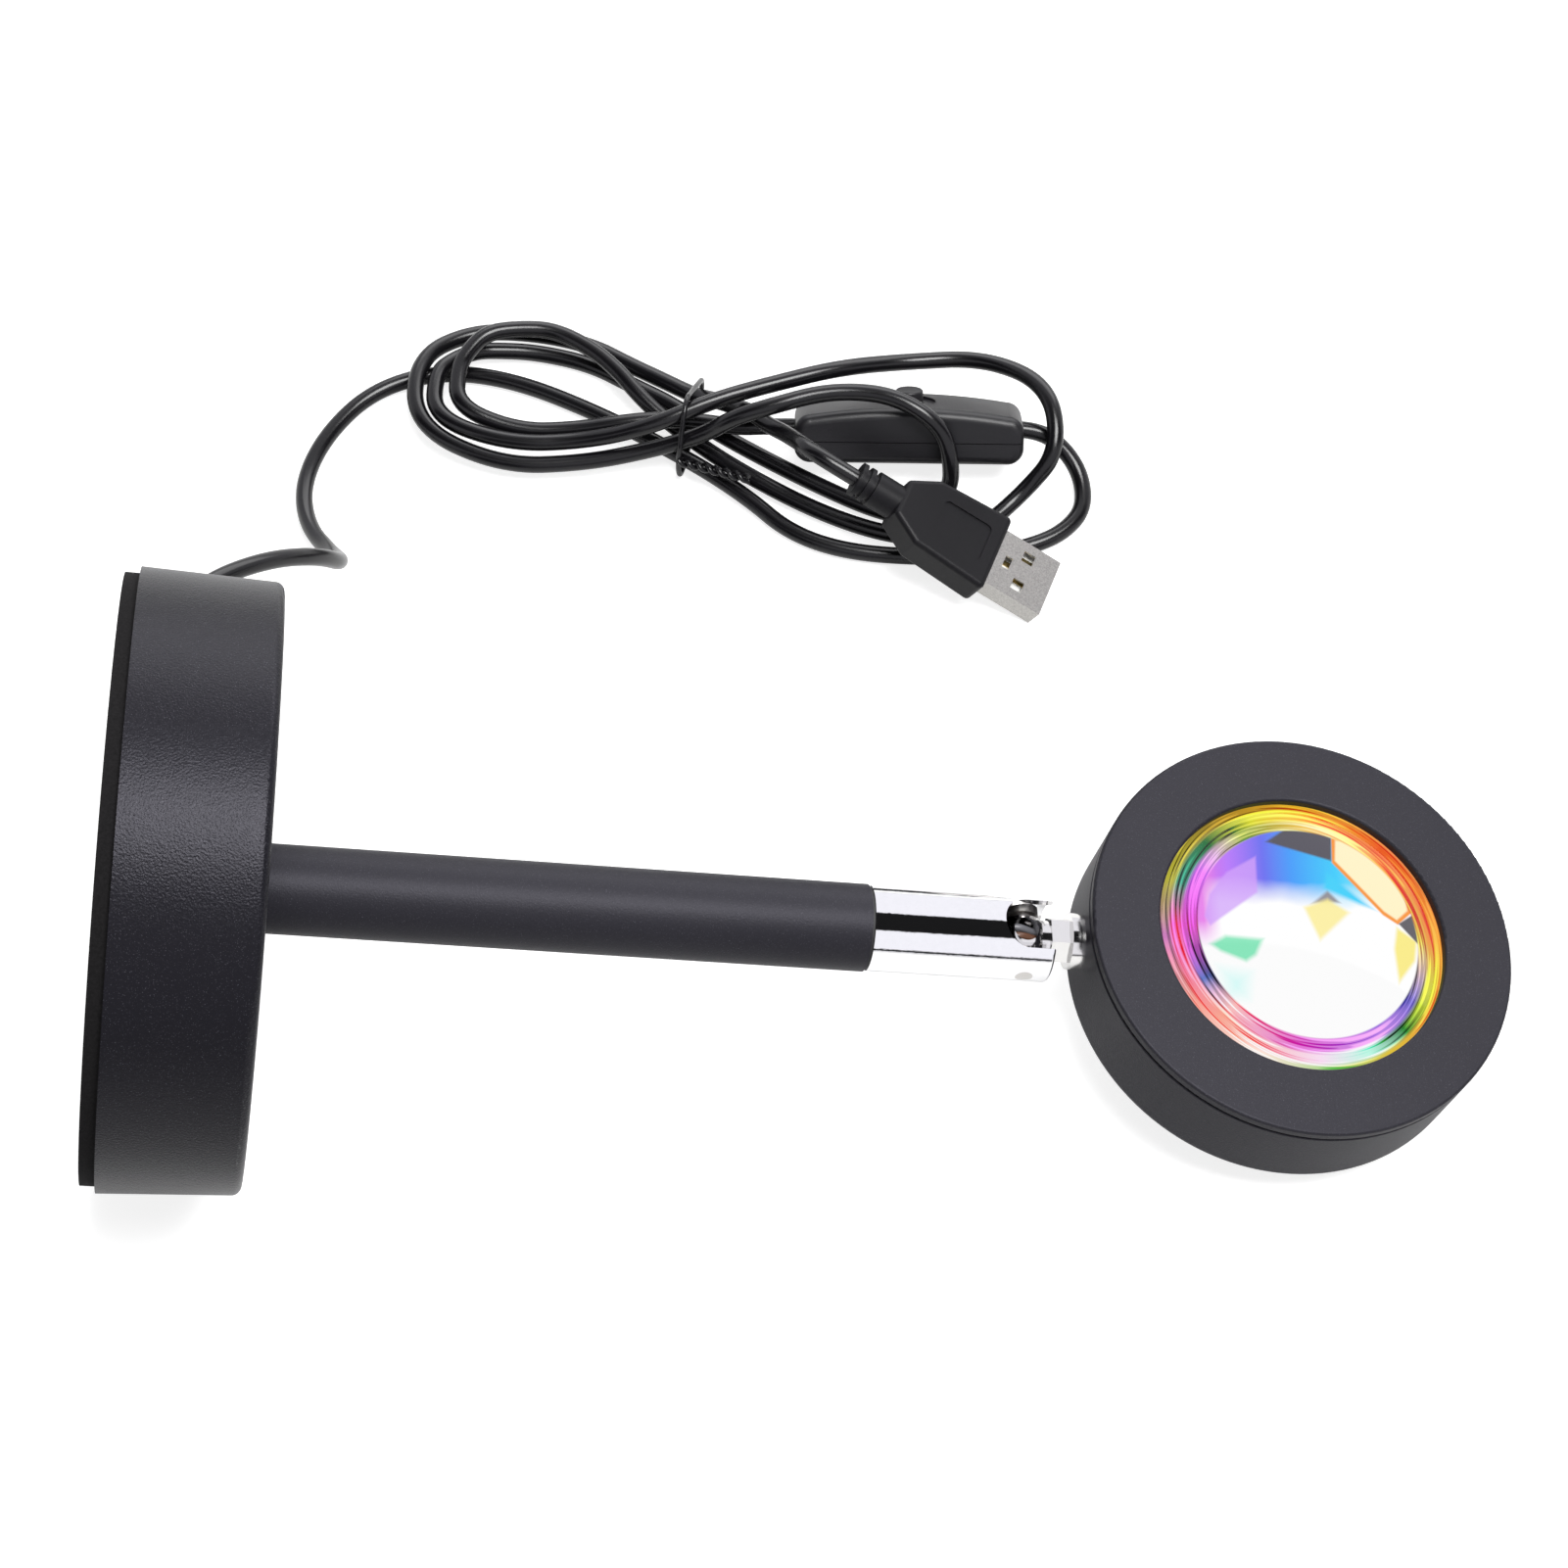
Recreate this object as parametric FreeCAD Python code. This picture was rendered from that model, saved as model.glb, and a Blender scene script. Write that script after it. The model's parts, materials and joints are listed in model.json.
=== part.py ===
import FreeCAD, Part
import math
import os
from FreeCAD import Matrix, Placement, Rotation, Vector

# A projection lamp with a round base, a slim post, a slotted swivel joint and a
# disc-shaped lens head, laid on its side on a table with its USB lead tied in a
# figure-eight hank behind it. All sizes are millimetres.
#
# The lamp is modelled upright first: z runs up the post from the underside of the
# foot pad, y points the way the lens faces, x points to the side where the lead
# leaves the base. It is then laid down, so that the edge of the base's top face and
# the back edge of the head rest on the table, z = 0.

# Base
base_radius = 50.0  # at the foot pad
base_draft = 0.8  # how much narrower the base is at its top face
base_height = 22.6
base_wall = 1.5
base_edge_round = 1.5
base_ledge = 0.6  # step inside the mouth that the bottom plate seats on
pad_inset = 1.1
pad_thickness = 2.5
bottom_plate_thickness = 1.2
weight_gap = 0.6  # between the weight and the cover's ledge
weight_thickness = 9.0
base_washer_radius = 10.0
base_washer_thickness = 1.2
base_nut_flats = 15.0
base_nut_thickness = 3.0

# Post
post_length = 99.1
post_radius = 7.32
post_wall = 1.0
post_cap_flange = 1.0
post_cap_depth = 10.0
post_bush_height = 8.0
rod_radius = 4.8
rod_bore = 3.25
rod_below_nut = 1.0
rod_in_cap = 7.0
stud_bore = 2.2

# Swivel joint
pan_washer_thickness = 0.5
barrel_step = 0.17  # how much slimmer the barrel is than the post
barrel_wall = 1.15
barrel_length = 30.8
barrel_floor = 3.0
barrel_edge_round = 0.5
pan_spring_thickness = 0.6
pan_nut_thickness = 2.5
knuckle_gap = 1.7  # between the knuckle and the barrel's bore
neck_hex_length = 3.4
neck_nut_wall = 1.75
neck_nut_thickness = 2.1
stub_inside_head = 1.6
stub_wall = 1.3
pin_radius = 1.5
pin_depth = 1.3  # how far each tilt pin enters the knuckle
lock_nut_wall = 1.5
lock_nut_thickness = 2.2

# Head
head_radius = 36.6
head_thickness = 18.9
head_wall = 2.0
head_back_wall = 2.0
head_back_round = 2.0
bezel_thickness = 1.7
bezel_edge_round = 0.5
bezel_step = 0.6  # height and depth of the shadow step behind the bezel
bezel_spigot_depth = 2.4
bezel_spigot_wall = 1.6
bezel_width = 11.7
lens_lip = 1.6  # how far the lens's flange reaches behind the bezel
lens_flange_thickness = 1.8
lens_dome_height = 5.0
holder_wall = 2.0
filter_shelf_width = 2.0
filter_shelf_thickness = 1.4
filter_inset = 6.0  # from the holder's bore
filter_thickness = 1.1
heat_plate_thickness = 2.0
board_inset = 3.5  # from the holder's bore
board_thickness = 1.6
chip_side = 9.0
chip_thickness = 1.0
condenser_radius = 9.0
condenser_height = 2.0
condenser_dome = 2.0
board_screw_radius = 2.4
board_screw_inset = 6.0  # from the board's edge
board_screw_height = 1.2

# Lead and what is on it
cord_radius = 1.6
wire_radius = 0.65
wire_spacing = 0.75
cord_exit_height = 9.0  # above the table side of the foot pad
cord_exit_drop = 7.0  # degrees below level with the lamp on its side
grommet_nose = 3.0
grommet_flange_radius = 4.0
grommet_body_radius = 3.0
switch_length = 43.0
switch_width = 13.8
switch_height = 10.7
switch_end_height = 9.2
switch_corner_round = 3.0
switch_edge_round = 1.8
switch_wall = 1.6
switch_parting = -1.0
switch_parting_gap = 0.15
switch_roll = 40.0
switch_yaw = -2.0
switch_at = (23.05, 114.85)
button_radius = 2.6
button_rise = 2.2
button_travel = 1.2
button_flange_radius = 3.4
button_flange_thickness = 0.9
contact_block = (14.0, 8.0)
shell_length = 12.0
shell_insert = 4.0
shell_width = 12.0
shell_height = 4.5
shell_wall = 0.4
grip_length = 15.2
grip_flare = 5.8
grip_neck = 5.0
grip_relief = 3.5
grip_width = 16.4
grip_width_back = 14.6
grip_neck_radius = 3.4
grip_thickness = 7.2
grip_round = 1.0
plug_tip = (47.2, 81.3, 2.35)
plug_yaw = -22.7
plug_pitch = 24.5
tie_radius = 0.5
tie_twist = 4.0
tie_tail_start = (-20.3, 109.0, 6.6)
tie_tail_end = (-7.2, 104.7, 6.7)

# Clearances
running_fit = 0.05
seat_gap = 0.1
body_gap = 0.3

X, Y, Z = Vector(1, 0, 0), Vector(0, 1, 0), Vector(0, 0, 1)

# Radii and widths that follow from the part around them
base_top_radius = base_radius - base_draft
pad_radius = base_radius - pad_inset
weight_radius = base_top_radius - base_wall - base_ledge - weight_gap
barrel_radius = post_radius - barrel_step
barrel_bore = barrel_radius - barrel_wall
stud_radius = barrel_bore - 2.0
pan_nut_flats = (barrel_bore - 0.46) * math.sqrt(3)
knuckle_radius = barrel_bore - knuckle_gap
knuckle_width = 2 * knuckle_radius - 1.4
slot_width = 2 * (knuckle_radius + seat_gap)
neck_radius = knuckle_radius - 1.1
neck_hex_flats = (slot_width / 2 - 0.36) * math.sqrt(3)
stub_radius = knuckle_radius - 1.3
wire_bore = stub_radius - stub_wall
wire_mouth_radius = knuckle_radius - 2.2
neck_nut_radius = stub_radius + neck_nut_wall
lock_nut_flats = 2 * (stub_radius + lock_nut_wall)
opening_radius = head_radius - bezel_width
lens_flange_radius = opening_radius + lens_lip
holder_bore = lens_flange_radius - holder_wall
filter_radius = holder_bore - filter_inset
filter_shelf_radius = filter_radius - filter_shelf_width
board_radius = holder_bore - board_inset
board_screw_circle = board_radius - board_screw_inset

# Heights up the post that several parts share
base_top = pad_thickness + base_height
base_ceiling = base_top - base_wall
weight_bottom = base_ceiling - weight_thickness
rod_bottom = weight_bottom - base_washer_thickness - base_nut_thickness - rod_below_nut
post_top = base_top + post_length
barrel_bottom = post_top + pan_washer_thickness
barrel_top = barrel_bottom + barrel_length
pivot_height = barrel_top - slot_width / 2
floor_top = barrel_bottom + barrel_floor
stud_top = floor_top + pan_spring_thickness + pan_nut_thickness + 2 * running_fit
neck_start = barrel_top - pivot_height
nut_start = neck_start + neck_hex_length
rim_start = nut_start + neck_nut_thickness
head_height = pivot_height + rim_start + head_radius

# Depths through the head, from its middle plane towards the lens
head_front = head_thickness / 2
head_back = -head_thickness / 2
bezel_back = head_front - bezel_thickness
shell_front = bezel_back - bezel_step - running_fit
plate_top = head_back + head_back_wall + heat_plate_thickness
board_top = plate_top + board_thickness
lens_back = bezel_back - lens_flange_thickness
shelf_top = board_top + condenser_height + condenser_dome + 0.5
filter_top = shelf_top + filter_thickness


def rod(radius, bottom, top):
    return Part.makeCylinder(radius, top - bottom, Z * bottom)


def ring(outer, inner, bottom, top):
    return rod(outer, bottom, top).cut(rod(inner, bottom, top))


def lathe(profile):
    """Solid of revolution about z from its (radius, height) corners."""
    corners = [Vector(radius, 0, height) for radius, height in profile]
    return Part.Face(Part.makePolygon(corners + corners[:1])).revolve(Vector(), Z, 360)


def hexagon(flats, bottom, top):
    corner = flats / math.sqrt(3)
    corners = [Vector(corner * math.cos(k * math.pi / 3), corner * math.sin(k * math.pi / 3), bottom)
               for k in range(7)]
    return Part.Face(Part.makePolygon(corners)).extrude(Z * (top - bottom))


def block(low, high):
    size = [b - a for a, b in zip(low, high)]
    return Part.makeBox(*size, Vector(*low))


def rounded(shape, size, radius, height):
    """Fillet the full circles of one radius that lie at one height."""
    edges = [edge for edge in shape.Edges
             if isinstance(edge.Curve, Part.Circle)
             and abs(edge.Curve.Radius - radius) < 1e-4
             and abs(edge.Curve.Center.z - height) < 1e-4]
    return shape.makeFillet(size, edges)


def turned(shape, placement):
    moved = shape.copy()
    moved.Placement = placement.multiply(moved.Placement)
    return moved


def group(shapes):
    return Part.makeCompound(shapes)


# ---------------------------------------------------------------- laying the lamp down

def lay_down():
    """Placement that lays the upright lamp on its side, resting on two rounded edges.

    The base touches with the rounding of its top face and the head with the rounding
    of its back, so the table is the common tangent of those two small circles.
    """
    lean = (base_radius - base_top_radius) / base_height
    base_z = base_top - base_edge_round
    base_drop = base_top_radius - base_edge_round * (math.hypot(1, lean) - lean)
    head_z = head_height + head_radius - head_back_round
    head_drop = -head_back - head_back_round
    rise, run = base_drop - head_drop, head_z - base_z
    slope = math.atan2(rise, run) - math.asin((head_back_round - base_edge_round) / math.hypot(rise, run))
    s, c = math.sin(slope), math.cos(slope)
    lift = base_edge_round + base_drop * c + base_z * s
    left = -pad_radius * s
    right = ((head_height + head_radius - bezel_edge_round) * c
             + (head_front - bezel_edge_round) * s + bezel_edge_round)
    axes = Matrix(0, s, c, -(left + right) / 2,
                  1, 0, 0, 0,
                  0, c, -s, lift,
                  0, 0, 0, 1)
    return Placement(axes)


lying = lay_down()
in_head = Placement(Z * head_height, Rotation(X, -90))  # head parts are turned about their own axis
exit_way = Vector(math.cos(math.radians(cord_exit_drop)), -math.sin(math.radians(cord_exit_drop)), 0)
at_exit = Placement(exit_way * base_radius + Z * cord_exit_height, Rotation(Z, exit_way))


# ---------------------------------------------------------------- cords

def tube(path, radius):
    """Round tube along a wire of tangent lines and arcs."""
    first = path.Edges[0]
    start = first.valueAt(first.FirstParameter)
    way = first.tangentAt(first.FirstParameter)
    section = Part.Wire(Part.makeCircle(radius, start, way))
    return path.makePipeShell([section], True, False)


def arc_from(start, way, end):
    """Arc from start to end that leaves along the unit vector way, as an edge."""
    chord = end - start
    side = chord - way * chord.dot(way)
    if side.Length < 1e-6 * chord.Length:
        return Part.LineSegment(start, end).toShape(), math.inf
    half = math.acos(max(-1.0, min(1.0, chord.dot(way) / chord.Length)))
    radius = chord.Length / (2 * math.sin(half))
    side.normalize()
    middle = start + way * (radius * math.sin(half)) + side * (radius * (1 - math.cos(half)))
    return Part.Arc(start, middle, end).toShape(), radius


def route(points):
    """Straight runs through the points, each corner an arc as large as its runs allow."""
    edges, radii, here = [], [], points[0]
    for before, corner, after in zip(points, points[1:], points[2:]):
        way_in, way_out = (corner - before).normalize(), (after - corner).normalize()
        reach = 0.45 * min((corner - before).Length, (after - corner).Length)
        arc_start, arc_end = corner - way_in * reach, corner + way_out * reach
        arc, radius = arc_from(arc_start, way_in, arc_end)
        edges += [Part.LineSegment(here, arc_start).toShape(), arc]
        radii.append(radius)
        here = arc_end
    edges.append(Part.LineSegment(here, points[-1]).toShape())
    return Part.Wire(edges), radii


def heading(bearing, rise):
    """Unit vector from a bearing in the table plane and a rise above it, in degrees."""
    level = math.cos(math.radians(rise))
    return Vector(level * math.cos(math.radians(bearing)), level * math.sin(math.radians(bearing)),
                  math.sin(math.radians(rise)))


def biarc(start, way_in, end, way_out):
    """Two arcs that leave start along way_in and reach end along way_out."""
    gap, ways = end - start, way_in + way_out
    along, spread = gap.dot(ways), 2 * (1 - way_in.dot(way_out))
    if spread < 1e-9:
        reach = gap.dot(gap) / (2 * along)
    else:
        reach = (math.sqrt(along * along + spread * gap.dot(gap)) - along) / spread
    corner_in, corner_out = start + way_in * reach, end - way_out * reach
    middle = (corner_in + corner_out) * 0.5
    first, radius_in = arc_from(start, way_in, middle)
    second, radius_out = arc_from(middle, (corner_out - corner_in).normalize(), end)
    return [first, second], [radius_in, radius_out]


def least_gap(wire, diameter):
    """Least clear distance between stretches of one tube, measured on points 1 mm apart."""
    points = wire.discretize(Distance=1.0)
    skip = int(4 * diameter)
    least = math.inf
    for i, here in enumerate(points):
        for there in points[i + skip:]:
            least = min(least, here.distanceToPoint(there))
    return least - diameter


def report_tube(name, path, solid, radii):
    length = path.Length
    ratio = solid.Volume / (math.pi * cord_radius ** 2 * length)
    rounded_radii = [round(radius, 1) for radius in radii if radius < 1000]
    print(name, "length", round(length, 1), "volume over section x length", round(ratio, 4),
          "least radius", min(rounded_radii), "radii", rounded_radii)


# Switch and plug places: each is built in its own frame and laid on the table
switch_side, switch_top_half = switch_width / 2 - switch_edge_round, switch_height / 2 - switch_edge_round
switch_lift = (switch_edge_round + switch_side * math.sin(math.radians(switch_roll))
               + switch_top_half * math.cos(math.radians(switch_roll)))
switch_place = Placement(Vector(switch_at[0], switch_at[1], switch_lift),
                         Rotation(Z, switch_yaw).multiply(Rotation(X, -switch_roll)))
plug_place = Placement(Vector(*plug_tip), Rotation(Z, plug_yaw).multiply(Rotation(Y, plug_pitch)))
cavity_top = switch_end_height - switch_height / 2 - switch_wall
grip_back = -(shell_length + grip_length + grip_flare + grip_neck + grip_relief)
cord_entry = 1.5  # how far the lead reaches into the switch, the plug and the grommet



def lead_points():
    """From the base over a tight curl, through the tie, round the outer loop to the switch."""
    nose = lying.multVec(at_exit.multVec(Z * grommet_nose))
    way = lying.Rotation.multVec(exit_way)
    switch_end = switch_place.multVec(X * (switch_length / 2 - cord_entry))
    before_switch = switch_place.multVec(X * (switch_length / 2 + 2 * cord_radius))
    middle = [(-98.3, 62.8, 42.5), (-90.3, 70.0, 36.5), (-83.6, 76.0, 27.5), (-81.0, 81.5, 16.5),
              (-84.3, 88.5, 8.2), (-90.0, 98.0, 3.2), (-91.7, 108.5, 1.65), (-87.8, 119.6, 1.65),
              (-79.2, 129.8, 1.65), (-66.3, 134.1, 1.65), (-51.8, 131.6, 1.65), (-35.3, 123.2, 1.9),
              (-18.3, 111.6, 3.1), (-7.5, 103.7, 2.0), (0.2, 95.9, 1.65), (10.7, 91.4, 1.65),
              (24.7, 89.9, 1.65), (37.7, 90.1, 1.65), (47.2, 92.6, 1.65), (52.5, 95.8, 1.65),
              (55.8, 100.4, 1.8), (55.6, 106.6, 2.9), (52.6, 111.3, 5.2)]
    start = [nose - way * cord_entry, nose + way * 4.0]
    return start + [Vector(*p) for p in middle] + [before_switch, switch_end]


def hank_knots():
    """Places and directions along the hank: x, y, z, bearing, rise."""
    knots = [
        # into the waist, under the later strands
        (-11.3, 116.9, 6.7, 167, -3), (-25.8, 118.2, 6.9, 184, 0),
        # first left loop
        (-44.5, 117.5, 5.1, 180, -1), (-62.4, 128.2, 7.3, 90, 2), (-58.8, 136.2, 7.9, 48, 3),
        (-48.6, 139.4, 7.5, 0, -4), (-33.4, 131.9, 6.1, -44, -7), (-27.0, 124.4, 4.8, -47, -11),
        (-18.3, 116.7, 3.0, -41, 0),
        # outer right loop, over the lead
        (16.7, 95.8, 1.8, -20, 0), (40.7, 99.8, 2.4, 42, 5), (50.4, 112.4, 11.4, 95, 14),
        (30.5, 130.3, 8.0, 180, -3), (3.5, 123.3, 13.2, 198, 4), (-19.1, 115.5, 13.2, 201, -8),
        # second left loop
        (-44.5, 113.8, 6.5, 180, -2), (-66.8, 128.0, 5.8, 90, -2), (-60.8, 136.0, 4.3, 32, -14),
        (-53.3, 137.9, 2.5, 0, -6), (-32.8, 132.1, 1.8, -34, 2), (-18.4, 121.9, 3.0, -38, 0),
        # inner right loop, over the switch
        (14.5, 101.5, 1.8, -28, 0), (28.6, 100.4, 4.4, 40, 34), (29.8, 106.8, 13.4, 112, 48),
        (22.8, 112.4, 18.8, 151, 8), (10.7, 115.6, 18.8, 180, -2), (-6.4, 112.8, 16.9, 188, -16),
        (-18.3, 112.4, 9.0, 182, -24),
        # third left loop
        (-44.8, 110.4, 4.2, 180, -2), (-70.6, 128.2, 5.3, 90, 0), (-53.8, 142.3, 2.6, 0, -4),
        (-32.8, 136.6, 1.8, -34, 2),
        # out of the waist and up to the plug
        (-20.0, 127.9, 3.2, -36, 8), (-10.7, 120.5, 8.3, -42, 26), (-6.5, 116.4, 11.3, -47, 16),
        (-2.9, 112.3, 12.8, -50, 28),
    ]
    return [(Vector(x, y, z), heading(bearing, rise)) for x, y, z, bearing, rise in knots]


def hank_path():
    """From the switch through the figure eight to the plug, straight where it enters each."""
    switch_way = switch_place.Rotation.multVec(X) * -1
    switch_end = switch_place.multVec(X * -switch_length / 2)
    plug_way = plug_place.Rotation.multVec(X)
    plug_end = plug_place.multVec(X * grip_back)
    straight = 2 * cord_radius
    knots = [(switch_end + switch_way * straight, switch_way)] + hank_knots()
    knots.append((plug_end - plug_way * straight, plug_way))
    edges = [Part.LineSegment(switch_end - switch_way * cord_entry, knots[0][0]).toShape()]
    radii = []
    for (start, way_in), (end, way_out) in zip(knots, knots[1:]):
        arcs, arc_radii = biarc(start, way_in, end, way_out)
        edges += arcs
        radii += arc_radii
    edges.append(Part.LineSegment(knots[-1][0], plug_end + plug_way * cord_entry).toShape())
    return Part.Wire(edges), radii


def cord_lead():
    path, radii = route(lead_points())
    solid = tube(path, cord_radius)
    report_tube("cord_lead", path, solid, radii)
    return solid


def cord_hank():
    path, radii = hank_path()
    solid = tube(path, cord_radius)
    report_tube("cord_hank", path, solid, radii)
    print("cord_hank least gap to itself", round(least_gap(path, 2 * cord_radius), 2))
    return solid


def cord_tie():
    """Wire once round the waist of the hank, its two ends twisted together into a tail."""
    loop = [(-20.4, 109.3, 7.0), (-20.1, 109.6, 9.6), (-19.6, 111.8, 12.3), (-19.1, 114.0, 15.2),
            (-18.5, 117.1, 15.7), (-17.7, 120.6, 12.5), (-16.7, 124.6, 9.2), (-15.8, 128.6, 5.4),
            (-16.0, 128.2, 2.0), (-16.7, 125.0, 0.65), (-18.2, 118.4, 0.6), (-19.6, 111.7, 0.6),
            (-20.3, 109.1, 1.6), (-20.5, 108.8, 4.0), (-20.4, 109.0, 6.3)]
    tie = tube(route([Vector(*p) for p in loop])[0], tie_radius)
    start, end = Vector(*tie_tail_start), Vector(*tie_tail_end)
    strand_radius = 0.9 * tie_radius
    strand = tube(Part.makeHelix(tie_twist, (end - start).Length, 1.1 * tie_radius), strand_radius)
    for turn in (0, 180):
        around = Placement(start, Rotation(Z, end - start).multiply(Rotation(Z, turn)))
        tie = tie.fuse(turned(strand, around))
    return tie


def cord_grommet():
    """Rubber sleeve whose two flanges close on the cover's wall from inside and outside."""
    bore = cord_radius + running_fit
    inside = base_top_radius - base_wall - base_ledge - base_radius
    profile = [(bore, inside - 1.0), (grommet_flange_radius, inside - 1.0), (grommet_flange_radius, 1.0),
               (grommet_body_radius, 1.6), (bore + 0.6, grommet_nose), (bore, grommet_nose)]
    return turned(lathe(profile), at_exit).cut(base_cover())


def cord_in_base():
    start = exit_way * (base_radius + grommet_nose - cord_entry) + Z * cord_exit_height
    clear = pad_thickness + bottom_plate_thickness + cord_radius + body_gap
    points = [start, exit_way * 36 + Z * cord_exit_height, exit_way * 24 + Z * clear,
              exit_way * 11 + Z * clear, Z * clear, Z * (clear + 12)]
    return tube(route(points)[0], cord_radius)


# ---------------------------------------------------------------- base

def base_cover():
    mouth, cavity = base_radius - base_wall, base_radius - base_wall - base_ledge
    outside = lathe([(0, pad_thickness), (base_radius, pad_thickness),
                     (base_top_radius, base_top), (0, base_top)])
    outside = rounded(outside, base_edge_round, base_top_radius, base_top)
    ledge = pad_thickness + bottom_plate_thickness
    inside = lathe([(0, pad_thickness), (mouth, pad_thickness), (mouth, ledge), (cavity, ledge),
                    (base_top_radius - base_wall - base_ledge, base_ceiling), (0, base_ceiling)])
    hole = rod(rod_radius + seat_gap, base_ceiling, base_top)
    cord_hole = turned(rod(grommet_body_radius + running_fit, -4, 4), at_exit)
    return outside.cut(inside).cut(hole).cut(cord_hole)


def base_weight():
    return ring(weight_radius, rod_radius + seat_gap, weight_bottom, base_ceiling)


def bottom_plate():
    return rod(base_radius - base_wall - seat_gap, pad_thickness, pad_thickness + bottom_plate_thickness)


def foot_pad():
    return rod(pad_radius, 0, pad_thickness)


def base_washer():
    return ring(base_washer_radius, rod_radius + running_fit, weight_bottom - base_washer_thickness,
                weight_bottom)


def base_nut():
    top = weight_bottom - base_washer_thickness
    nut = hexagon(base_nut_flats, top - base_nut_thickness, top)
    return nut.cut(rod(rod_radius + running_fit, top - base_nut_thickness, top))


# ---------------------------------------------------------------- post

def post_rod():
    return ring(rod_radius, rod_bore, rod_bottom, post_top - post_cap_depth + rod_in_cap)


def post_tube():
    return ring(post_radius, post_radius - post_wall, base_top, post_top - post_cap_flange)


def post_bush():
    return ring(post_radius - post_wall - running_fit, rod_radius + running_fit, base_top,
                base_top + post_bush_height)


def post_cap():
    """Plug in the top of the post, whose hollow stud carries the swivel joint."""
    inside = post_radius - post_wall - running_fit
    collar = post_top - post_cap_flange
    socket = rod_radius + running_fit
    socket_top = post_top - post_cap_depth + rod_in_cap
    return lathe([(socket, post_top - post_cap_depth), (inside, post_top - post_cap_depth),
                  (inside, collar), (post_radius, collar), (post_radius, post_top),
                  (stud_radius, post_top), (stud_radius, stud_top), (stud_bore, stud_top),
                  (stud_bore, socket_top), (socket, socket_top)])


def wire_pair(bottom, top):
    pair = []
    for side in (-1, 1):
        pair.append(Part.makeCylinder(wire_radius, top - bottom, Vector(side * wire_spacing, 0, bottom)))
    return group(pair)


def post_wires():
    sheath_end = pad_thickness + bottom_plate_thickness + cord_radius + body_gap + 12
    return wire_pair(sheath_end, stud_top)


# ---------------------------------------------------------------- swivel joint

def pan_washer():
    return ring(post_radius - 0.5, stud_radius + running_fit, post_top, barrel_bottom - running_fit)


def pan_spring():
    return ring(stud_radius + 1.7, stud_radius + running_fit, floor_top + running_fit,
                floor_top + running_fit + pan_spring_thickness)


def pan_nut():
    bottom = floor_top + running_fit + pan_spring_thickness
    nut = hexagon(pan_nut_flats, bottom, bottom + pan_nut_thickness)
    return nut.cut(rod(stud_radius + running_fit, bottom, bottom + pan_nut_thickness))


def joint_barrel():
    """Plated tube, open at the head end, with a round-ended slot on the lens side."""
    tube_outside = rod(barrel_radius, barrel_bottom, barrel_top)
    tube_outside = rounded(tube_outside, barrel_edge_round, barrel_radius, barrel_top)
    barrel = tube_outside.cut(rod(barrel_bore, floor_top, barrel_top))
    barrel = barrel.cut(rod(stud_radius + running_fit, barrel_bottom, floor_top))
    slot = block((-slot_width / 2, 0, pivot_height), (slot_width / 2, 2 * barrel_radius, barrel_top + 1))
    slot_end = Part.makeCylinder(slot_width / 2, 2 * barrel_radius, Z * pivot_height, Y)
    pin_start = Vector(-2 * barrel_radius, 0, pivot_height)
    pin_hole = Part.makeCylinder(pin_radius, 4 * barrel_radius, pin_start, X)
    return barrel.cut(slot).cut(slot_end).cut(pin_hole)


def tilt_pins():
    """Two short pins, pressed through the barrel wall, that the knuckle turns on."""
    pins = []
    inner = knuckle_width / 2 - pin_depth
    skin = rod(barrel_radius, barrel_bottom, barrel_top)
    for side in (-1, 1):
        pin = Part.makeCylinder(pin_radius, barrel_radius, Vector(side * inner, 0, pivot_height), X * side)
        pins.append(pin.common(skin))
    return group(pins)


def tilt_washers():
    """Spring washers between the knuckle's flats and the barrel wall."""
    washers = []
    flat = knuckle_width / 2 + running_fit
    outer = pin_radius * 2
    reach = math.sqrt(barrel_bore ** 2 - outer ** 2) - running_fit
    for side in (-1, 1):
        start = Vector(side * flat, 0, pivot_height)
        washer = Part.makeCylinder(outer, reach - flat, start, X * side)
        hole = Part.makeCylinder(pin_radius + running_fit, reach - flat, start, X * side)
        washers.append(washer.cut(hole))
    return group(washers)


def joint_wires():
    return wire_pair(stud_top + body_gap, pivot_height - knuckle_radius - 3 * body_gap)


def at_pivot(shape):
    return turned(shape, Placement(Z * pivot_height, Rotation()))


def neck_knuckle():
    """Ball with flats, hexagon neck and threaded stub, drilled through for the wires."""
    stub_end = rim_start + head_wall + lock_nut_thickness + stub_inside_head
    half = knuckle_width / 2
    big = 2 * knuckle_radius
    body = Part.makeSphere(knuckle_radius).common(block((-half, -big, -big), (half, big, big)))
    body = body.fuse(rod(neck_radius, 0, neck_start)).fuse(hexagon(neck_hex_flats, neck_start, nut_start))
    body = body.fuse(rod(stub_radius, nut_start, stub_end))
    body = body.cut(rod(wire_bore, 0, stub_end))
    body = body.cut(Part.makeCylinder(wire_mouth_radius, big, Vector(), Y))
    for side in (-1, 1):
        hole = Part.makeCylinder(pin_radius + running_fit, big, X * side * (half - pin_depth - running_fit),
                                 X * side)
        body = body.cut(hole)
    return at_pivot(body)


def head_cylinder(radius):
    return turned(rod(radius, 2 * head_back, 2 * head_front), in_head)


def neck_nut():
    """Round nut on the neck, its face shaped to the head's rim."""
    nut = at_pivot(ring(neck_nut_radius, stub_radius + running_fit, nut_start, rim_start + head_wall / 2))
    return nut.cut(head_cylinder(head_radius))


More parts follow.
